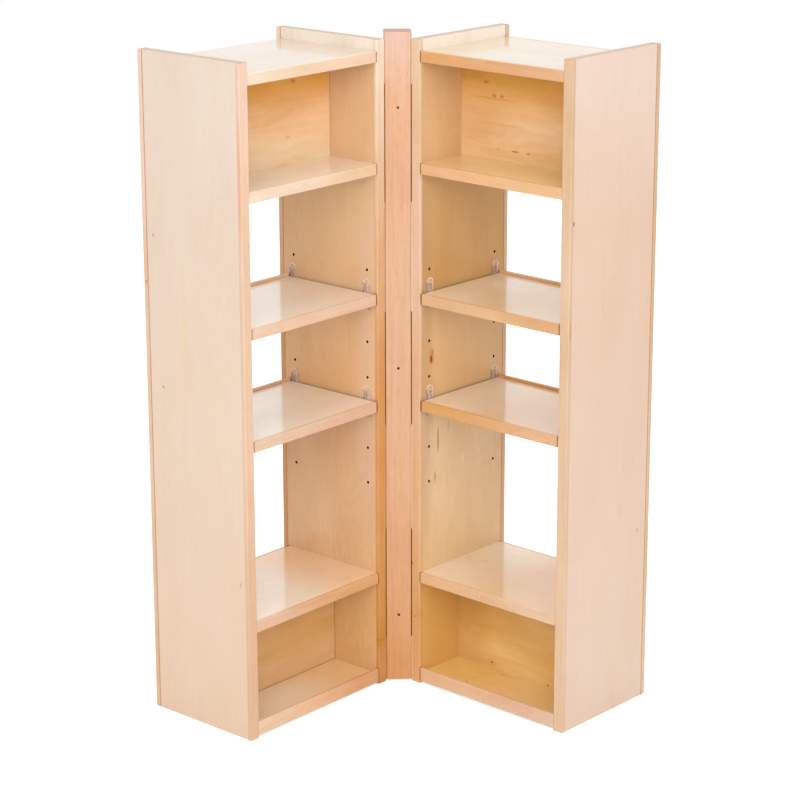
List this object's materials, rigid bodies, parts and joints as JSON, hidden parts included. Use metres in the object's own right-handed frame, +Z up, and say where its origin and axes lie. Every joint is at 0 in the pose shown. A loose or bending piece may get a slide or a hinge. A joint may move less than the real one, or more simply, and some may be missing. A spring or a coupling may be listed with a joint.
{
  "type": "swing-out pantry unit",
  "caption": "Open double-sided wooden shelf units that swing on long leaf hinges from a central mounting post.",
  "frame": {"origin": "floor point at the centre of the object's outline, with the units at their half-open rest angle", "axes": "+Z up, -Y towards the viewer and the open side of the V, +X to the viewer's right; the post stands on X = 0"},
  "size_m": [0.8604, 0.4082, 1.168],
  "materials": {
    "maple_plywood": "clear satin lacquer on maple-faced plywood",
    "band_maple": "clear satin lacquer on solid wood edge bands",
    "post_maple": "clear satin lacquer on a solid wood post",
    "clear_plastic": "clear moulded polycarbonate",
    "bronzed_steel": "dark bronzed steel"
  },
  "bodies": {
    "post": {"left_bottom_hinge_post_leaf": "bronzed_steel", "left_hinge_pins": "bronzed_steel", "left_hinge_post_screws": "bronzed_steel", "left_middle_hinge_post_leaf": "bronzed_steel", "left_top_hinge_post_leaf": "bronzed_steel", "mounting_post": "post_maple", "right_bottom_hinge_post_leaf": "bronzed_steel", "right_hinge_pins": "bronzed_steel", "right_hinge_post_screws": "bronzed_steel", "right_middle_hinge_post_leaf": "bronzed_steel", "right_top_hinge_post_leaf": "bronzed_steel"},
    "left_unit": {"left_bottom_hinge_unit_leaf": "bronzed_steel", "left_bottom_panel": "maple_plywood", "left_bottom_panel_bands": "band_maple", "left_hinge_unit_screws": "bronzed_steel", "left_inner_side": "maple_plywood", "left_inner_side_bands": "band_maple", "left_lower_adjustable_shelf": "maple_plywood", "left_lower_adjustable_shelf_bands": "band_maple", "left_lower_divider": "maple_plywood", "left_lower_fixed_shelf": "maple_plywood", "left_lower_fixed_shelf_bands": "band_maple", "left_middle_hinge_unit_leaf": "bronzed_steel", "left_outer_side": "maple_plywood", "left_outer_side_bands": "band_maple", "left_shelf_clips": "clear_plastic", "left_top_hinge_unit_leaf": "bronzed_steel", "left_top_panel": "maple_plywood", "left_top_panel_bands": "band_maple", "left_upper_adjustable_shelf": "maple_plywood", "left_upper_adjustable_shelf_bands": "band_maple", "left_upper_divider": "maple_plywood", "left_upper_fixed_shelf": "maple_plywood", "left_upper_fixed_shelf_bands": "band_maple"},
    "right_unit": {"right_bottom_hinge_unit_leaf": "bronzed_steel", "right_bottom_panel": "maple_plywood", "right_bottom_panel_bands": "band_maple", "right_hinge_unit_screws": "bronzed_steel", "right_inner_side": "maple_plywood", "right_inner_side_bands": "band_maple", "right_lower_adjustable_shelf": "maple_plywood", "right_lower_adjustable_shelf_bands": "band_maple", "right_lower_divider": "maple_plywood", "right_lower_fixed_shelf": "maple_plywood", "right_lower_fixed_shelf_bands": "band_maple", "right_middle_hinge_unit_leaf": "bronzed_steel", "right_outer_side": "maple_plywood", "right_outer_side_bands": "band_maple", "right_shelf_clips": "clear_plastic", "right_top_hinge_unit_leaf": "bronzed_steel", "right_top_panel": "maple_plywood", "right_top_panel_bands": "band_maple", "right_upper_adjustable_shelf": "maple_plywood", "right_upper_adjustable_shelf_bands": "band_maple", "right_upper_divider": "maple_plywood", "right_upper_fixed_shelf": "maple_plywood", "right_upper_fixed_shelf_bands": "band_maple"}
  },
  "joints": [
    {"name": "left_swing", "type": "hinge", "parent": "post", "child": "left_unit", "pos_m": [-0.02325, 0.04219, 0.583], "axis": [0, 0, -1], "range_deg": [-44.5, 45.5]},
    {"name": "right_swing", "type": "hinge", "parent": "post", "child": "right_unit", "pos_m": [0.02325, 0.04219, 0.583], "axis": [0, 0, 1], "range_deg": [-44.5, 45.5]}
  ]
}
